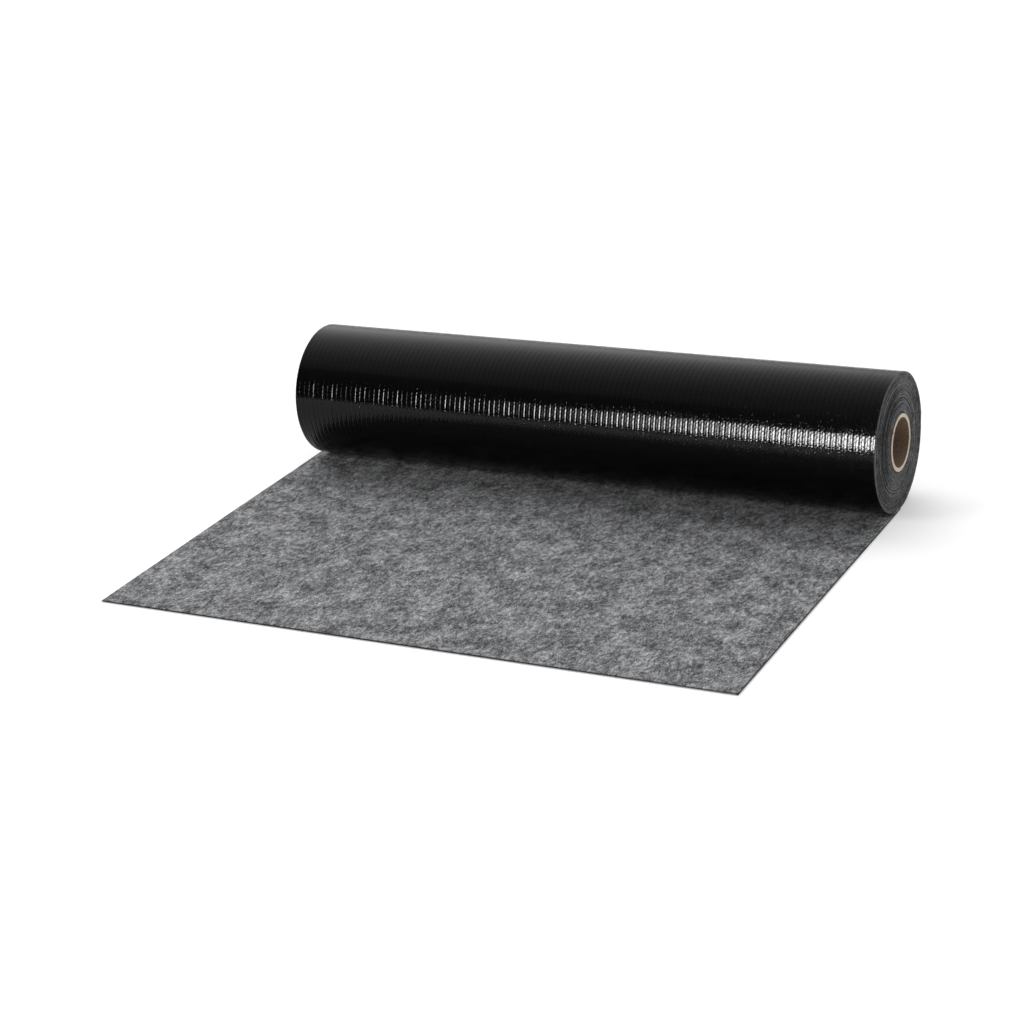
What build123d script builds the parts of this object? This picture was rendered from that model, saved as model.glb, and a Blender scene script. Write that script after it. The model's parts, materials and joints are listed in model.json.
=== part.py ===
from build123d import *
from math import acos, degrees, sin
import os

# A roll of felt-backed membrane on a cardboard core. It lies on its side, and its
# loose end comes out from under it and is laid out flat towards -Y, felt side up.
# X runs along the roll's axis. The origin is on the floor, at the middle of the
# rectangle that the roll and its loose end cover.

# Driving dimensions, in millimetres
roll_width = 1000.0  # along the axis
roll_radius = 108.0  # of the outermost turn, where it meets the floor
loose_length = 665.0  # from the line that the roll stands on to the free edge
sheet_thickness = 2.3  # film and felt together, lying loose
felt_press = 0.2  # how much the winding squeezes out of the felt
core_bore = 76.2  # the standard core of such rolls
core_wall = 6.4
core_stand_out = 4.0  # how far each end of the core stands out of the last turn
core_clearance = 0.2  # between the core and the first turn
second_setback = 1.0  # how far the second turn's edge lies inside the last one's
turn_scatter = 2.5  # how much further in the edges of the other turns may lie
turn_rhythm = 2.4  # radians from one turn's edge to the next, so that none repeat
turn_drift = 3.5  # how far the innermost turn has slid towards +X

# Where things lie
wound_thickness = sheet_thickness - felt_press
step = wound_thickness / 4  # how much the winding draws in with each quarter turn
contact_y = (loose_length - roll_radius) / 2  # the line that the roll stands on
free_edge_y = contact_y - loose_length
axis_y = contact_y + step / 2
axis_z = roll_radius + step / 2
roll_axis = Axis((0, axis_y, axis_z), (1, 0, 0))

# The turned body of inner turns
core_radius = core_bore / 2 + core_wall
first_turn_radius = core_radius + core_clearance
turned_radius = roll_radius - 2.5 * wound_thickness
turned_turns = round((turned_radius - first_turn_radius) / wound_thickness)
turn_pitch = (turned_radius - first_turn_radius) / turned_turns


def quarter_arcs(turn, count):
    """Draw a turn's outer side, from under the roll round its back, as quarter
    arcs whose centres go round a small square. Turn 0 is the outermost one."""
    centre = Vector(contact_y, roll_radius)
    for quarter in range(count):
        radius = roll_radius - turn * wound_thickness - quarter * step
        end_angle = 90 * quarter
        CenterArc(centre, radius, end_angle - 90, 90)
        centre += Vector(step, 0).rotate(Axis.Z, end_angle)
    return centre


def edge_points(side):
    """The half section's end: one flat step for each turn, from the core outwards."""
    points = []
    for turn in range(turned_turns):
        scatter = turn_scatter * (1 + sin(turn_rhythm * turn)) / 2
        x = side * (roll_width / 2 - second_setback - step - scatter)
        x += turn_drift * (1 - turn / turned_turns) ** 2
        inner_radius = first_turn_radius + turn * turn_pitch
        points += [(x, inner_radius), (x, inner_radius + turn_pitch)]
    return points


with BuildPart() as membrane:
    # The last turns and the loose end: the outermost turn runs from under the roll
    # round its back and over its top, and comes down on the felt of the loose end
    with BuildSketch(Plane.YZ):
        with BuildLine():
            last_centre = quarter_arcs(0, 3)
            last_radius = roll_radius - 3 * step
            nip_angle = degrees(acos((last_centre.Y - sheet_thickness) / last_radius))
            front = CenterArc(last_centre, last_radius, 180, 90 - nip_angle)
            Polyline(
                front @ 1,
                (free_edge_y, sheet_thickness),
                (free_edge_y, 0),
                (contact_y, 0),
            )
        make_face()
        with Locations((axis_y, axis_z)):
            Circle(turned_radius - turn_pitch / 2, mode=Mode.SUBTRACT)
    extrude(amount=roll_width / 2, both=True)

    # The edge of the second turn lies a little inside the outermost one's
    with BuildSketch(
        Plane.YZ.offset(roll_width / 2), Plane.YZ.offset(second_setback - roll_width / 2)
    ):
        with BuildLine():
            quarter_arcs(1, 4)
            Line((contact_y, 2 * wound_thickness), (contact_y, wound_thickness))
        make_face()
    extrude(amount=-second_setback, mode=Mode.SUBTRACT)

    # The inner turns, as one turned body
    with BuildSketch(Plane((0, axis_y, axis_z), x_dir=(1, 0, 0), z_dir=(0, -1, 0))):
        with BuildLine():
            Polyline(*edge_points(1), *reversed(edge_points(-1)), close=True)
        make_face()
    revolve(axis=roll_axis)

with BuildPart() as core_tube:
    with BuildSketch(Plane.YZ):
        with Locations((axis_y, axis_z)):
            Circle(core_radius)
            Circle(core_bore / 2, mode=Mode.SUBTRACT)
    extrude(amount=roll_width / 2 + core_stand_out, both=True)

os.makedirs("parts", exist_ok=True)
membrane.part.label = "membrane"
export_step(membrane.part, "parts/membrane.step")
core_tube.part.label = "core_tube"
export_step(core_tube.part, "parts/core_tube.step")
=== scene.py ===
import json
import math

import bmesh
import bpy
from mathutils import Matrix, Vector, noise


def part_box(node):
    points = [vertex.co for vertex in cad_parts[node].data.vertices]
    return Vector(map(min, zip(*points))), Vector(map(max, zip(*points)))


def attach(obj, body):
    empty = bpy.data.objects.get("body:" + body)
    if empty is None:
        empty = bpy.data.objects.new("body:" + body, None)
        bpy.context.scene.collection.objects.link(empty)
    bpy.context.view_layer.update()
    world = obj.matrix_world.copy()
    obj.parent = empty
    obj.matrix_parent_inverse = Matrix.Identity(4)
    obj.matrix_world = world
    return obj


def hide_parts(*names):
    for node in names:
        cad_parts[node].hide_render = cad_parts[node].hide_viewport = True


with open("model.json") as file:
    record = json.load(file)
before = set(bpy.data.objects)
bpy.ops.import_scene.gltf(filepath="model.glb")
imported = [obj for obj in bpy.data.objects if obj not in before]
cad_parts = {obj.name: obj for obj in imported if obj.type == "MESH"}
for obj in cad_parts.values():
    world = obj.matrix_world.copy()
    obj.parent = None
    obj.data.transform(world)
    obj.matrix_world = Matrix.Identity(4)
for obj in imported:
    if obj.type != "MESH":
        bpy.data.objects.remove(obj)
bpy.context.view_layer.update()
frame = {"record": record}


# The core is a spiral-wound tube of brown kraft card, cut to length with a knife
# that leaves its plies showing. Its ends stand a few millimetres out of the roll.

def add_node(tree, kind, inputs=None, **settings):
    """Add a shader node with its settings, and its sockets' values or links."""
    added = tree.nodes.new("ShaderNode" + kind)
    for name, value in settings.items():
        setattr(added, name, value)
    for socket, value in (inputs or {}).items():
        if isinstance(value, bpy.types.NodeSocket):
            tree.links.new(value, added.inputs[socket])
        else:
            added.inputs[socket].default_value = value
    return added


def work_out(tree, operation, *values):
    """Work out one value from others with a Math node."""
    return add_node(tree, "Math", dict(enumerate(values)), operation=operation).outputs[0]


def ramp(tree, factor, stops):
    """Turn a value into a colour, by stops of position and grey or RGB."""
    ramp_node = add_node(tree, "ValToRGB", {"Fac": factor})
    elements = ramp_node.color_ramp.elements
    while len(elements) < len(stops):
        elements.new(1)
    for element, (position, colour) in zip(elements, stops):
        element.position = position
        grey = isinstance(colour, (int, float))
        element.color = (*([colour] * 3 if grey else colour), 1)
    return ramp_node.outputs[0]


def start_material(name):
    """Make a material and give back its node tree and its Principled shader."""
    material = bpy.data.materials.new(name)
    material.use_nodes = True
    tree = material.node_tree
    return material, tree, tree.nodes["Principled BSDF"]


def add_piece(name, bm, *materials):
    """Turn a bmesh into a smooth piece that rides on the roll."""
    mesh = bpy.data.meshes.new(name)
    bm.to_mesh(mesh)
    bm.free()
    mesh.shade_smooth()
    piece = bpy.data.objects.new(name, mesh)
    bpy.context.collection.objects.link(piece)
    for material in materials:
        mesh.materials.append(material)
    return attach(piece, "root")


# Fibres are a group of their own, for the card and for the felt: a noise drawn out
# along the fibres, whose coordinates are first pushed about by a broader noise.
fibres = bpy.data.node_groups.new("Fibres", "ShaderNodeTree")
fibres.interface.new_socket("Vector", in_out="INPUT", socket_type="NodeSocketVector")
fibres.interface.new_socket("Density", in_out="INPUT", socket_type="NodeSocketVector")
fibres.interface.new_socket("Waviness", in_out="INPUT", socket_type="NodeSocketFloat")
fibres.interface.new_socket("Tone", in_out="OUTPUT", socket_type="NodeSocketFloat")
fibres_in = fibres.nodes.new("NodeGroupInput")
scaled = add_node(
    fibres, "VectorMath", {0: fibres_in.outputs["Vector"], 1: fibres_in.outputs["Density"]},
    operation="MULTIPLY",
)
push = add_node(
    fibres, "TexNoise", {"Vector": scaled.outputs[0], "Scale": 0.35, "Detail": 2.0}
)
centred = add_node(
    fibres, "VectorMath", {0: push.outputs["Color"], 1: (0.5, 0.5, 0.5)},
    operation="SUBTRACT",
)
pushed = add_node(
    fibres, "VectorMath", {0: centred.outputs[0], "Scale": fibres_in.outputs["Waviness"]},
    operation="SCALE",
)
bent = add_node(
    fibres, "VectorMath", {0: scaled.outputs[0], 1: pushed.outputs[0]}, operation="ADD"
)
strands = add_node(
    fibres, "TexNoise",
    {"Vector": bent.outputs[0], "Scale": 1.0, "Detail": 3.0, "Roughness": 0.6},
)
fibres_out = fibres.nodes.new("NodeGroupOutput")
fibres.links.new(strands.outputs["Fac"], fibres_out.inputs["Tone"])

card, tree, shader = start_material("Kraft card")
place = add_node(tree, "TexCoord").outputs["Object"]
core_low, core_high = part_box("core_tube")
axis_y = (core_low.y + core_high.y) / 2
axis_z = (core_low.z + core_high.z) / 2
core_outer = (core_high.z - core_low.z) / 2
core_bore = frame["record"]["mounts"][0]["dims"]["r_mm"] / 1000
from_axis = add_node(
    tree, "VectorMath", {0: place, 1: (0, axis_y, axis_z)}, operation="SUBTRACT"
).outputs[0]
parts = add_node(tree, "SeparateXYZ", {0: from_axis}).outputs
angle = work_out(tree, "ARCTAN2", parts["Y"], parts["Z"])
radius = work_out(
    tree, "SQRT",
    work_out(
        tree, "ADD",
        work_out(tree, "POWER", parts["Y"], 2.0), work_out(tree, "POWER", parts["Z"], 2.0),
    ),
)
# The paper strip of the inside goes round once in 150 mm, with a butt joint
paper_strip = 0.150
turns_along = work_out(
    tree, "SUBTRACT",
    work_out(tree, "DIVIDE", parts["X"], paper_strip),
    work_out(tree, "DIVIDE", angle, 2 * math.pi),
)
from_joint = work_out(
    tree, "ABSOLUTE", work_out(tree, "SUBTRACT", work_out(tree, "FRACT", turns_along), 0.5)
)
joint = ramp(tree, from_joint, [(0.0, 1), (0.006, 0.85), (0.012, 0)])
paper = add_node(tree, "Group", node_tree=fibres)
tree.links.new(from_axis, paper.inputs["Vector"])
paper.inputs["Density"].default_value = (300, 900, 900)
paper.inputs["Waviness"].default_value = 1.2
paper_tone = ramp(
    tree, paper.outputs["Tone"],
    [(0.3, (0.11, 0.070, 0.040)), (0.55, (0.19, 0.130, 0.083)), (0.8, (0.27, 0.190, 0.125))],
)
# On the cut, the plies are pale and divided by thin glue lines
ply_thickness = 0.0008
cut_depth = 0.0007
ply = work_out(
    tree, "FRACT",
    work_out(tree, "DIVIDE", work_out(tree, "SUBTRACT", radius, core_bore), ply_thickness),
)
cut_tone = ramp(
    tree, ply,
    [
        (0.0, (0.42, 0.33, 0.25)),
        (0.15, (0.72, 0.62, 0.52)),
        (0.85, (0.76, 0.66, 0.56)),
        (1.0, (0.5, 0.4, 0.3)),
    ],
)
past_cut = work_out(
    tree, "SUBTRACT", work_out(tree, "ABSOLUTE", parts["X"]), core_high.x - cut_depth
)
on_cut = ramp(tree, work_out(tree, "MULTIPLY", past_cut, 1000.0), [(0.1, 0), (0.5, 1)])
card_colour = add_node(
    tree, "Mix", {"Factor": on_cut, "A": paper_tone, "B": cut_tone}, data_type="RGBA"
)
darker_joint = add_node(
    tree, "Mix",
    {
        "Factor": work_out(tree, "MULTIPLY", joint, 0.5),
        "A": card_colour.outputs["Result"], "B": (0.07, 0.045, 0.03, 1),
    },
    data_type="RGBA",
)
tree.links.new(darker_joint.outputs["Result"], shader.inputs["Base Color"])
tree.links.new(
    ramp(tree, paper.outputs["Tone"], [(0.3, 0.75), (0.7, 0.92)]), shader.inputs["Roughness"]
)
card_height = work_out(tree, "SUBTRACT", paper.outputs["Tone"], joint)
card_relief = add_node(
    tree, "Bump", {"Strength": 0.5, "Distance": 0.0002, "Height": card_height}
)
tree.links.new(card_relief.outputs[0], shader.inputs["Normal"])

bm = bmesh.new()
wall = [
    bm.verts.new((x, axis_y, axis_z - r))
    for x, r in (
        (core_low.x, core_outer),
        (core_low.x, core_bore),
        (core_high.x, core_bore),
        (core_high.x, core_outer),
    )
]
sides = [bm.edges.new((wall[i - 1], wall[i])) for i in range(4)]
bmesh.ops.subdivide_edges(bm, edges=[sides[1], sides[3]], cuts=23)
bmesh.ops.spin(
    bm, geom=bm.verts[:] + bm.edges[:], cent=(0, axis_y, axis_z), axis=(1, 0, 0),
    angle=2 * math.pi, steps=120, use_merge=True,
)
bmesh.ops.recalc_face_normals(bm, faces=bm.faces[:])
# The rims are rounded by handling, and a little frayed
rim_wear, worn_depth, fraying = 0.0005, 0.0006, 0.00025
for vert in bm.verts:
    reach = math.hypot(vert.co.y - axis_y, vert.co.z - axis_z)
    around = math.atan2(vert.co.y - axis_y, vert.co.z - axis_z)
    depth = min(reach - core_bore, core_outer - reach)
    worn = rim_wear * max(0, 1 - depth / worn_depth) ** 2
    frayed = fraying * (1 + noise.noise(Vector((reach * 2500, around * 6, vert.co.x * 9))))
    vert.co.x -= math.copysign(worn + frayed, vert.co.x)
core_piece = add_piece("core_tube_card", bm, card)
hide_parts("core_tube")


# The roll is one long strip, wound felt side in: a black film, reinforced with
# threads, on a pad of needled grey felt. The turns are a true spiral, and their
# edges wander a little from turn to turn, as a winding machine leaves them.

contact_y = 0.2785  # the line that the roll stands on
roll_radius = 0.108
wound = 0.0021  # the strip's thickness in the roll, with its felt pressed
film = 0.0010
draw_in = wound / 4
all_quarters = 116
half_width = 0.5
edge_setbacks = 0.0014, 0.0013, 0.0012  # how far in the edges lie, and their wander
edge_zone = 0.003
drift = 0.0035  # how far the innermost turn has slid along the roll
front_slack = 0.0020
slack_turns = 14


def wind(draw_outline, first_turn, quarters, steps=20):
    """Wind the strip that has an outline, one turn after another. A turn is four
    quarters whose centres go round a small square, so that it draws in by the
    strip's thickness."""
    strip = bmesh.new()
    turn_mesh = bpy.data.meshes.new("one turn")
    for turn in range(first_turn, math.ceil(quarters / 4)):
        bm = bmesh.new()
        draw_outline(bm)
        bmesh.ops.translate(bm, vec=(0, 0, turn * wound), verts=bm.verts[:])
        outline = bm.verts[:] + bm.edges[:]
        centre = Vector((0, contact_y, roll_radius))
        for quarter in range(min(4, quarters - 4 * turn)):
            outline = bmesh.ops.spin(
                bm, geom=outline, cent=centre, axis=(1, 0, 0), angle=math.pi / 2,
                steps=steps,
            )["geom_last"]
            centre += Matrix.Rotation(quarter * math.pi / 2, 3, "X") @ Vector((0, draw_in, 0))
        bm.to_mesh(turn_mesh)
        bm.free()
        strip.from_mesh(turn_mesh)
    bpy.data.meshes.remove(turn_mesh)
    bmesh.ops.remove_doubles(strip, verts=strip.verts[:], dist=0.000002)
    bmesh.ops.holes_fill(strip, edges=[e for e in strip.edges if e.is_boundary], sides=0)
    bmesh.ops.recalc_face_normals(strip, faces=strip.faces[:])
    return strip


def turns_in(point, depth):
    """How many turns a point lies in from the contact line, given its depth in the
    strip."""
    y, z = point.y - contact_y, point.z - roll_radius
    angle = math.atan2(y, -z) / (2 * math.pi) % 1
    return angle + round((roll_radius - depth - math.hypot(y, z)) / wound - angle)


def edge_setback(turns, side):
    """How far in the strip's edge lies: nothing on the loose end, more after a turn."""
    slow = noise.noise(Vector((turns * 0.31, side * 5.5, 1.5)))
    quick = noise.noise(Vector((turns * 1.7, side * 3.5, 8.5)))
    middle, slow_wander, quick_wander = edge_setbacks
    return min(1, turns) * (middle + slow_wander * slow + quick_wander * quick)


def draw_strip(bm, points, depth):
    """Draw a strip's closed outline under the roll, from (inset, height) at its ends."""
    ends = [(half_width - inset, z) for inset, z in points]
    ends += [(inset - half_width, z) for inset, z in reversed(points)]
    verts = [bm.verts.new((x, contact_y, depth + z)) for x, z in ends]
    for i in range(len(verts)):
        bm.edges.new((verts[i - 1], verts[i]))


def settle(point, turns):
    """Let the outer turns hang a little loose at the front, down to the nip."""
    part = turns % 1
    down_the_front = min(1, max(0, (part - 0.45) / 0.4))
    back_at_the_nip = min(1, (1 - part) / 0.05)
    hang = front_slack * down_the_front * back_at_the_nip
    outwards = Vector((0, point.y - contact_y, point.z - roll_radius)).normalized()
    return point + outwards * hang * max(0, 1 - turns / slack_turns)


def shift_edges(bm, middle, fuzz):
    """Let the edges wander along the strip and stand proud here and there, and let
    the inner turns slide towards +X."""
    along = bm.verts.layers.float.new("along")
    turn = bm.verts.layers.float.new("turn")
    for vert in bm.verts:
        turns = turns_in(vert.co, middle)
        vert.co = settle(vert.co, turns)
        vert[turn] = turns
        vert[along] = 2 * math.pi * (roll_radius * turns - wound * turns ** 2 / 2)
        if abs(vert.co.x) > half_width - edge_zone:
            side = math.copysign(1, vert.co.x)
            loose = noise.noise(Vector((vert[along] * 180, side * 4.5, turns * 0.5)))
            vert.co.x -= side * (edge_setback(turns, side) - fuzz * loose)
            vert.co.x += drift * (4 * turns / all_quarters) ** 2


felt, tree, shader = start_material("Needled felt")
place = add_node(tree, "TexCoord").outputs["Object"]
hairs = add_node(tree, "Group", node_tree=fibres)
tree.links.new(place, hairs.inputs["Vector"])
hairs.inputs["Density"].default_value = (520, 260, 520)
hairs.inputs["Waviness"].default_value = 4.0
tufts = add_node(tree, "Group", node_tree=fibres)
tree.links.new(place, tufts.inputs["Vector"])
tufts.inputs["Density"].default_value = (150, 95, 150)
tufts.inputs["Waviness"].default_value = 2.5
clouds = add_node(
    tree, "TexNoise",
    {"Vector": place, "Scale": 22.0, "Detail": 4.0, "Roughness": 0.65},
)
curls = add_node(tree, "Group", node_tree=fibres)
tree.links.new(place, curls.inputs["Vector"])
curls.inputs["Density"].default_value = (300, 170, 300)
curls.inputs["Waviness"].default_value = 5.0
creases = ramp(tree, curls.outputs["Tone"], [(0.455, 0), (0.5, 1), (0.545, 0)])
# Long wisps lie along the strip, with thin dark partings between them in its dark
# patches
wisps = add_node(tree, "Group", node_tree=fibres)
tree.links.new(place, wisps.inputs["Vector"])
wisps.inputs["Density"].default_value = (190, 42, 190)
wisps.inputs["Waviness"].default_value = 2.2
partings = work_out(
    tree, "MULTIPLY",
    ramp(tree, wisps.outputs["Tone"], [(0.475, 0), (0.5, 1), (0.525, 0)]),
    ramp(tree, clouds.outputs["Fac"], [(0.40, 1), (0.58, 0)]),
)
felt_height = work_out(
    tree, "SUBTRACT",
    work_out(
        tree, "ADD",
        work_out(tree, "MULTIPLY", hairs.outputs["Tone"], 0.46),
        work_out(tree, "MULTIPLY", tufts.outputs["Tone"], 0.38),
    ),
    work_out(
        tree, "ADD",
        work_out(tree, "MULTIPLY", creases, 0.045),
        work_out(tree, "MULTIPLY", partings, 0.08),
    ),
)
felt_tone = work_out(
    tree, "ADD", felt_height, work_out(tree, "MULTIPLY", clouds.outputs["Fac"], 0.26)
)
felt_colour = ramp(
    tree, felt_tone,
    [
        (0.36, (0.010, 0.010, 0.011)),
        (0.48, (0.075, 0.076, 0.079)),
        (0.55, (0.185, 0.188, 0.194)),
        (0.62, (0.320, 0.325, 0.335)),
        (0.74, (0.640, 0.650, 0.670)),
    ],
)
# A tone that changes from turn to turn on the roll's ends, partly the turns' own random tone
# and partly painted shade for turns that lie back: some turns stand out pale and some dark
turn_number = add_node(tree, "Attribute", attribute_name="turn").outputs["Fac"]
turn_noise = add_node(
    tree, "TexNoise", {"W": turn_number, "Scale": 0.9, "Detail": 2.0, "Roughness": 0.7},
    noise_dimensions="1D",
).outputs["Fac"]
turn_tone_and_painted_shade = work_out(
    tree, "MAXIMUM", work_out(tree, "MULTIPLY_ADD", turn_noise, 3.4, -0.7), 0.15
)
# On the roll's ends the felt's cut edges are mixed towards a flat dark grey, which evens out
# their texture and darkens them as painted shade
cut_edge = work_out(tree, "GREATER_THAN", turn_number, 0.05)
felt_colour = add_node(
    tree, "Mix",
    {
        "Factor": work_out(tree, "MULTIPLY", cut_edge, 0.55),
        "A": felt_colour, "B": (0.095, 0.097, 0.100, 1),
    },
    data_type="RGBA",
).outputs["Result"]
felt_colour = add_node(
    tree, "VectorMath", {0: felt_colour, "Scale": turn_tone_and_painted_shade}, operation="SCALE"
).outputs[0]
tree.links.new(felt_colour, shader.inputs["Base Color"])
shader.inputs["Roughness"].default_value = 0.95
shader.inputs["Specular IOR Level"].default_value = 0.15
felt_relief = add_node(
    tree, "Bump", {"Strength": 0.6, "Distance": 0.0006, "Height": felt_height}
)
tree.links.new(felt_relief.outputs[0], shader.inputs["Normal"])

# The felt's rounded edge, by how far in and how high its points lie
felt_end = [(0.0007, 0), (0.0, 0.0002), (-0.0002, 0.0005), (0.0, 0.0009), (0.0007, 0.0011)]
felt_middle = film + 0.0005
bm = wind(lambda turn: draw_strip(turn, felt_end, film), 0, all_quarters)
shift_edges(bm, felt_middle, fuzz=0.0004)
felt_turns = add_piece("wound_felt", bm, felt)

black_film, tree, shader = start_material("Black film")
strip_x = add_node(
    tree, "SeparateXYZ", {0: add_node(tree, "TexCoord").outputs["Object"]}
).outputs["X"]
strip_y = add_node(tree, "Attribute", attribute_name="along").outputs["Fac"]
on_strip = add_node(tree, "CombineXYZ", {"X": strip_x, "Y": strip_y}).outputs[0]
# Its relief, in millimetres: a fine weave, dents, ridges where the cross threads lie,
# and pimples, which are more towards the roll's right end
wave_length = 0.314  # of a Wave texture at a scale of 1
weave_pitch, thread_pitch = 0.0034, 0.0080
weave = add_node(
    tree, "TexWave",
    {
        "Vector": on_strip, "Scale": wave_length / weave_pitch,
        "Distortion": 1.5, "Detail": 1.0, "Detail Scale": 0.6,
    },
    wave_type="BANDS", bands_direction="DIAGONAL",
).outputs["Fac"]
drawn_out = add_node(
    tree, "VectorMath", {0: on_strip, 1: (300, 200, 1)}, operation="MULTIPLY"
).outputs[0]
dents = add_node(
    tree, "TexNoise", {"Vector": drawn_out, "Scale": 1.0, "Detail": 3.0, "Roughness": 0.6}
).outputs["Fac"]
threads = add_node(
    tree, "TexWave",
    {
        "Vector": on_strip, "Scale": wave_length / thread_pitch,
        "Distortion": 1.2, "Detail": 1.0, "Detail Scale": 3.0,
    },
    wave_type="BANDS", bands_direction="Y",
).outputs["Fac"]
knots = add_node(
    tree, "TexNoise", {"Vector": on_strip, "Scale": 330.0, "Detail": 1.0}
).outputs["Fac"]
ridges = work_out(
    tree, "MULTIPLY",
    ramp(tree, threads, [(0.72, 0), (1.0, 1)]),
    ramp(tree, knots, [(0.46, 0), (0.62, 0.35), (0.78, 1)]),
)
grains = add_node(
    tree, "TexNoise", {"Vector": on_strip, "Scale": 450.0, "Detail": 1.0}
).outputs["Fac"]
more_pimples = ramp(
    tree, work_out(tree, "ADD", strip_x, half_width), [(0.5, 0.3), (0.9, 1.0)]
)
pimples = work_out(
    tree, "MULTIPLY", ramp(tree, grains, [(0.60, 0), (0.67, 0.15), (0.76, 1)]), more_pimples
)
film_height = work_out(
    tree, "ADD",
    work_out(
        tree, "ADD",
        work_out(tree, "MULTIPLY", weave, 0.045), work_out(tree, "MULTIPLY", dents, 0.10),
    ),
    work_out(
        tree, "ADD",
        work_out(tree, "MULTIPLY", ridges, 0.14), work_out(tree, "MULTIPLY", pimples, 0.18),
    ),
)
film_relief = add_node(
    tree, "Bump", {"Strength": 1.0, "Distance": 0.001, "Height": film_height}
)
tree.links.new(film_relief.outputs[0], shader.inputs["Normal"])
scuffs = add_node(
    tree, "TexNoise", {"Vector": on_strip, "Scale": 35.0, "Detail": 5.0, "Roughness": 0.7}
)
tree.links.new(
    ramp(tree, scuffs.outputs["Fac"], [(0.35, 0.06), (0.75, 0.13)]), shader.inputs["Roughness"]
)
# Where the strip is cut, its threads leave a dull grey edge
on_edge = ramp(
    tree, work_out(tree, "MULTIPLY", work_out(tree, "ABSOLUTE", strip_x), 1 / half_width),
    [(0.9985, 0), (0.9992, 1)],
)
turn_number = add_node(tree, "Attribute", attribute_name="turn").outputs["Fac"]
outermost = work_out(
    tree, "MULTIPLY",
    work_out(tree, "GREATER_THAN", strip_y, 0.0001),
    work_out(tree, "LESS_THAN", turn_number, 1.01),
)
on_edge = work_out(tree, "MULTIPLY", on_edge, outermost)
film_colour = add_node(
    tree, "Mix",
    {
        "Factor": on_edge,
        "A": ramp(tree, scuffs.outputs["Fac"], [(0.3, 0.0006), (0.8, 0.0012)]),
        "B": (0.10, 0.10, 0.103, 1),
    },
    data_type="RGBA",
)
tree.links.new(film_colour.outputs["Result"], shader.inputs["Base Color"])
shader.inputs["IOR"].default_value = 1.25

# The film's edge, in the same way
film_end = [(0.0004, 0), (0.0002, 0.0002), (0.0002, 0.0008), (0.0004, film)]
bm = wind(lambda turn: draw_strip(turn, film_end, 0), 1, all_quarters)
shift_edges(bm, film / 2, fuzz=0.0001)
film_turns = add_piece("wound_film", bm, black_film)


# The outermost turn is the film that the photograph shows. Its reinforcing threads
# run round the roll in pairs, one tighter than the other, and the film between two
# threads stands up like a pillow.

rib_pitch = 0.0088  # from one tight thread to the next
pitch_change = 0.10
thread_sway = 0.0004
depth_change = 0.22
rim_round = 0.0003
# How deep the threads draw the film in, and the grooves' depths across one rib
tight, slack = 0.00028, 0.00009
rib_shape = {
    0.0: tight, 0.04: 0.71 * tight, 0.14: 0.19 * tight,
    0.36: 0.19 * slack, 0.46: 0.71 * slack,
    0.5: slack, 0.54: 0.71 * slack, 0.64: 0.19 * slack,
    0.86: 0.19 * tight, 0.96: 0.71 * tight,
}

rib_starts = [-half_width]
while rib_starts[-1] < half_width - 0.5 * rib_pitch:
    unevenness = noise.noise(Vector((len(rib_starts) * 1.37, 0.5, 2.5)))
    rib_starts.append(rib_starts[-1] + rib_pitch * (1 + pitch_change * unevenness))
stretch = 2 * half_width / (rib_starts[-1] - rib_starts[0])
rib_starts = [(start + half_width) * stretch - half_width for start in rib_starts]
columns = [
    (start + (end - start) * part, rib, part)
    for rib, (start, end) in enumerate(zip(rib_starts, rib_starts[1:]))
    for part in rib_shape
] + [(half_width, len(rib_starts) - 1, 0.0)]


def draw_ribbed(bm):
    """Draw the outermost film's outline, with the columns of its ribs."""
    rib_of = bm.verts.layers.int.new("rib")
    depth_of = bm.verts.layers.float.new("groove")
    ends = [bm.verts.new((x, contact_y, 0)) for x in (-half_width, half_width)]
    line = bm.edges.new(ends)
    bmesh.ops.subdivide_edges(bm, edges=[line], cuts=len(columns) - 2)
    across = sorted(bm.verts, key=lambda v: v.co.x)
    for vert, (x, rib, part) in zip(across, columns):
        vert.co.x = max(-half_width + rim_round, min(half_width - rim_round, x))
        vert[rib_of] = rib
        vert[depth_of] = rib_shape[part]
    rim = [
        bm.verts.new((x, contact_y, z))
        for x, z in (
            (half_width, 0.0003), (half_width, 0.0007), (half_width - rim_round, film),
            (rim_round - half_width, film), (-half_width, 0.0007), (-half_width, 0.0003),
        )
    ]
    for vert in rim:
        vert[rib_of] = -1
    loop = [across[-1], *rim, across[0]]
    for one, other in zip(loop, loop[1:]):
        bm.edges.new((one, other))


bm = wind(draw_ribbed, 0, 4, steps=16)
shift_edges(bm, film / 2, fuzz=0.0001)
along = bm.verts.layers.float["along"]
rib_of = bm.verts.layers.int["rib"]
depth_of = bm.verts.layers.float["groove"]
for vert in bm.verts:
    rib = vert[rib_of]
    if rib < 0:
        continue
    wander = noise.noise(Vector((rib * 0.9, vert[along] * 14, 3.5)))
    swell = noise.noise(Vector((rib * 3.7, vert[along] * 9, 6.5)))
    if 0 < rib < len(rib_starts) - 1:
        vert.co.x += thread_sway * wander
    depth = vert[depth_of] * (1 + depth_change * swell)
    inwards = Vector((0, contact_y - vert.co.y, roll_radius - vert.co.z)).normalized()
    vert.co += inwards * depth
outer_turn = add_piece("outer_turn_film", bm, black_film)
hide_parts("membrane")


# The loose end comes out from under the roll and is laid out flat on the floor, felt
# side up. It runs out a little askew, and its film shows as a thin black edge.

loose_length = 0.665
thickness = 0.0023
pile = 0.0010  # how high the felt stands on the film, below its rounded shoulder
felt_margin = 0.0012
shoulder_in, shoulder_up = 0.0005, 0.0003
mounds, tufts_up = 0.00025, 0.00015  # how much the felt's face rises and falls
curl_zone, side_zone, curl_rise = 0.06, 0.04, 0.0012
askew = 0.0060
left_flare, left_taper, right_flare = 0.0145, 0.0104, 0.0014

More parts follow.
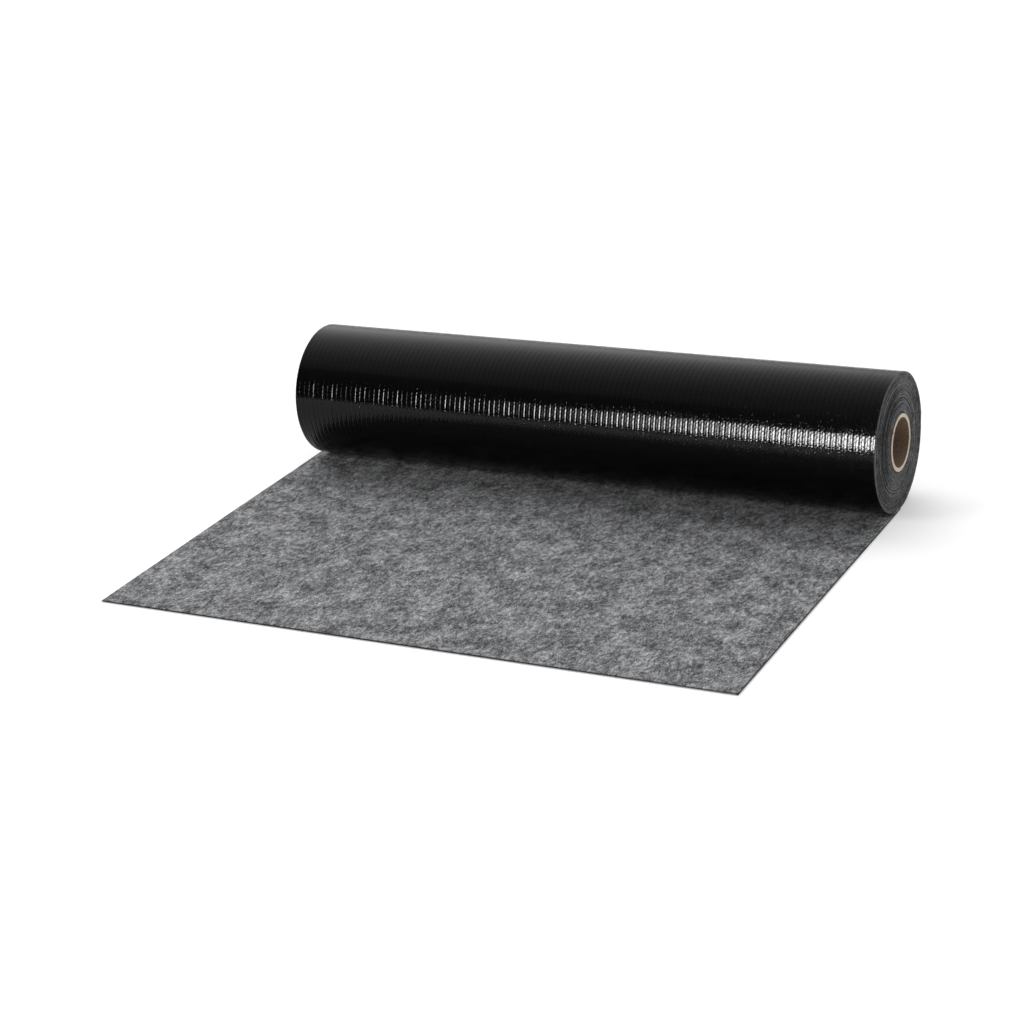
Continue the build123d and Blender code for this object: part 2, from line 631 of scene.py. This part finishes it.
bm = bmesh.new()
bmesh.ops.create_grid(bm, x_segments=200, y_segments=133, size=0.5)
bmesh.ops.scale(bm, vec=(2 * half_width, loose_length, 1), verts=bm.verts[:])
bmesh.ops.translate(bm, vec=(0, contact_y - loose_length / 2, 0), verts=bm.verts[:])


def lift(bm, faces, rise):
    """Raise a sheet's faces and give back the raised ones."""
    raised = bmesh.ops.extrude_face_region(bm, geom=faces)["geom"]
    bmesh.ops.translate(
        bm, vec=(0, 0, rise), verts=[g for g in raised if isinstance(g, bmesh.types.BMVert)]
    )
    return [g for g in raised if isinstance(g, bmesh.types.BMFace)]


top = lift(bm, bm.faces[:], film)
bmesh.ops.inset_region(
    bm, faces=top, thickness=felt_margin, use_boundary=True, use_even_offset=True
)
covered = top
top = lift(bm, top, pile)
bmesh.ops.delete(bm, geom=[f for f in covered if f.is_valid and f not in top], context="FACES")
bmesh.ops.inset_region(
    bm, faces=top, thickness=shoulder_in, depth=shoulder_up, use_boundary=True,
    use_even_offset=True,
)
bmesh.ops.recalc_face_normals(bm, faces=bm.faces[:])
for face in bm.faces:
    if face.calc_center_median().z > film + 0.0001:
        face.material_index = 1
along = bm.verts.layers.float.new("along")
for vert in bm.verts:
    run = contact_y - vert.co.y
    vert[along] = -run
    if vert.co.z > 0.9 * (film + pile):
        vert.co.z += (
            mounds * noise.noise(vert.co * 45) + tufts_up * noise.noise(vert.co * 160)
        )
        vert.co.z = min(vert.co.z, thickness + 0.0003)
    curl = max(0, (run - loose_length + curl_zone) / curl_zone) ** 2
    from_roll = min(1, max(0, (run - 0.12) / 0.15))
    side = max(0, (abs(vert.co.x) - half_width + side_zone) / side_zone) ** 2 * from_roll
    vert.co.z += curl_rise * max(curl, side)
    x = vert.co.x
    flare = left_flare * min(1, max(0, run / 0.02)) - left_taper * run
    vert.co.x += askew * run + x / half_width * (flare if x < 0 else right_flare)
    vert.co.y += askew * x * run / loose_length
loose_end = add_piece("loose_end", bm, black_film, felt)


# The studio is a white floor under a soft sky that is brightest at the back. A softbox
# stands low in front on the left, and a wide panel hangs over the roll: the film shows
# both, and they light nothing else.

floor_mesh = bpy.data.meshes.new("floor")
bm = bmesh.new()
bmesh.ops.create_grid(bm, x_segments=1, y_segments=1, size=20)
bmesh.ops.translate(bm, vec=(0, 0, -0.0001), verts=bm.verts[:])
bm.to_mesh(floor_mesh)
bm.free()
floor = bpy.data.objects.new("floor", floor_mesh)
bpy.context.collection.objects.link(floor)

white_floor, tree, shader = start_material("White floor")
floor_mesh.materials.append(white_floor)
rays = add_node(tree, "LightPath").outputs
seen = work_out(
    tree, "MAXIMUM", rays["Is Camera Ray"],
    work_out(tree, "MAXIMUM", rays["Is Glossy Ray"], rays["Is Transmission Ray"]),
)
shader.inputs["Base Color"].default_value = (0.9, 0.9, 0.9, 1)
shader.inputs["Roughness"].default_value = 1.0
shader.inputs["Specular IOR Level"].default_value = 0.0
shader.inputs["Emission Color"].default_value = (1, 1, 1, 1)
tree.links.new(work_out(tree, "MULTIPLY", seen, 0.2), shader.inputs["Emission Strength"])

world = bpy.data.worlds.new("Studio")
bpy.context.scene.world = world
world.use_nodes = True
tree = world.node_tree
direction = add_node(
    tree, "SeparateXYZ", {0: add_node(tree, "TexCoord").outputs["Generated"]}
).outputs
from_back = work_out(
    tree, "DIVIDE", work_out(tree, "ARCTAN2", direction["Z"], direction["Y"]), math.pi
)
sky = ramp(
    tree, from_back,
    [
        (0.0, 0.3), (0.1, 1.0), (0.33, 1.0), (0.44, 0.7),
        (0.55, 0.4), (0.67, 0.2), (0.8, 0.12), (1.0, 0.1),
    ],
)
sky = add_node(
    tree, "VectorMath", {0: sky, "Scale": 1.25}, operation="SCALE"
).outputs[0]
rays = add_node(tree, "LightPath").outputs
backdrop = add_node(
    tree, "Mix", {"Factor": rays["Is Camera Ray"], "A": sky, "B": (1, 1, 1, 1)},
    data_type="RGBA",
)
tree.links.new(backdrop.outputs["Result"], tree.nodes["Background"].inputs["Color"])
tree.nodes["Background"].inputs["Strength"].default_value = 1.0


def hang_panel(name, width, height, place, strength, across, up):
    """Hang a glowing panel, whose glow changes across it in X and up it in Z by
    stops of metres and level."""
    bm = bmesh.new()
    bmesh.ops.create_grid(bm, x_segments=1, y_segments=1, size=0.5)
    bmesh.ops.scale(bm, vec=(width, height, 1), verts=bm.verts[:])
    bmesh.ops.transform(bm, matrix=place, verts=bm.verts[:])
    panel_mesh = bpy.data.meshes.new(name)
    bm.to_mesh(panel_mesh)
    bm.free()
    panel = bpy.data.objects.new(name, panel_mesh)
    bpy.context.collection.objects.link(panel)
    glow, tree, shader = start_material(name)
    panel_mesh.materials.append(glow)
    shader.inputs["Base Color"].default_value = (0, 0, 0, 1)
    shader.inputs["Specular IOR Level"].default_value = 0.0
    spot = add_node(
        tree, "SeparateXYZ", {0: add_node(tree, "TexCoord").outputs["Object"]}
    ).outputs
    levels = []
    for axis, stops in (("X", across), ("Z", up)):
        low, high = stops[0][0], stops[-1][0]
        part = add_node(
            tree, "MapRange", {"Value": spot[axis], "From Min": low, "From Max": high}
        ).outputs[0]
        levels.append(
            ramp(tree, part, [((at - low) / (high - low), level) for at, level in stops])
        )
    level = add_node(
        tree, "Mix", {"Factor": 1.0, "A": levels[0], "B": levels[1]},
        data_type="RGBA", blend_type="MULTIPLY",
    )
    tree.links.new(level.outputs["Result"], shader.inputs["Emission Color"])
    shader.inputs["Emission Strength"].default_value = strength
    panel.visible_camera = False
    panel.visible_diffuse = False
    panel.visible_transmission = False
    panel.visible_shadow = False


hang_panel(
    "low_softbox", 2.35, 1.12,
    Matrix.Translation((-0.83, -2.85, 1.00))
    @ Matrix.Rotation(math.radians(-14), 4, "Z")
    @ Matrix.Rotation(math.radians(80), 4, "X"),
    110.0, [(-1.4, 0.0), (-0.9, 0.08), (-0.65, 0.28), (-0.35, 0.8), (0.0, 1.0), (0.4, 1.0)],
    [(0.0, 1.0), (2.0, 1.0)],
)
# The other panel slopes up from the floor behind the roll to above the viewer
hang_panel(
    "overhead_panel", 6.0, 5.9,
    Matrix.Translation((0, -0.05, 1.683)) @ Matrix.Rotation(math.radians(-33.7), 4, "X"),
    1.65, [(-1.3, 1.0), (-0.6, 0.85), (0.1, 0.72), (1.0, 0.5)],
    [
        (0.32, 0.12), (0.54, 0.70), (0.71, 0.97), (0.95, 1.0), (1.17, 0.83),
        (1.41, 0.64), (1.77, 0.4), (2.59, 0.26), (3.3, 0.12),
    ],
)

# Two soft lamps give the felt its light and the roll its shadow, and the film doesn't
# mirror them
high_light = bpy.data.lights.new("High light", "SUN")
high_light.energy = 0.9
high_light.angle = math.radians(50)
front_light = bpy.data.lights.new("Front light", "AREA")
front_light.energy = 84.0
front_light.size = 1.8
for lamp, place in ((high_light, (-0.4, 0.55, 1.0)), (front_light, (-2.9, -3.2, 2.3))):
    hung = bpy.data.objects.new(lamp.name, lamp)
    bpy.context.collection.objects.link(hung)
    hung.visible_glossy = False
    hung.location = place
    hung.rotation_euler = Vector(place).to_track_quat("Z", "Y").to_euler()


# The camera looks down on the roll from the front right, as in the photograph. Its
# place and its turns were fitted to the outlines there.

heading, tilt, lean = 0.50407, 0.37994, 0.08346
lens = bpy.data.cameras.new("Camera")
lens.lens = 84.18
lens.sensor_width = 36
lens.clip_end = 60
camera = bpy.data.objects.new("Camera", lens)
bpy.context.collection.objects.link(camera)
camera.matrix_world = (
    Matrix.Translation((1.60681, -2.94169, 1.38776))
    @ Matrix.Rotation(heading, 4, "Z")
    @ Matrix.Rotation(math.pi / 2 - tilt, 4, "X")
    @ Matrix.Rotation(-lean, 4, "Z")
)
bpy.context.scene.camera = camera
bpy.context.scene.view_settings.view_transform = "Standard"
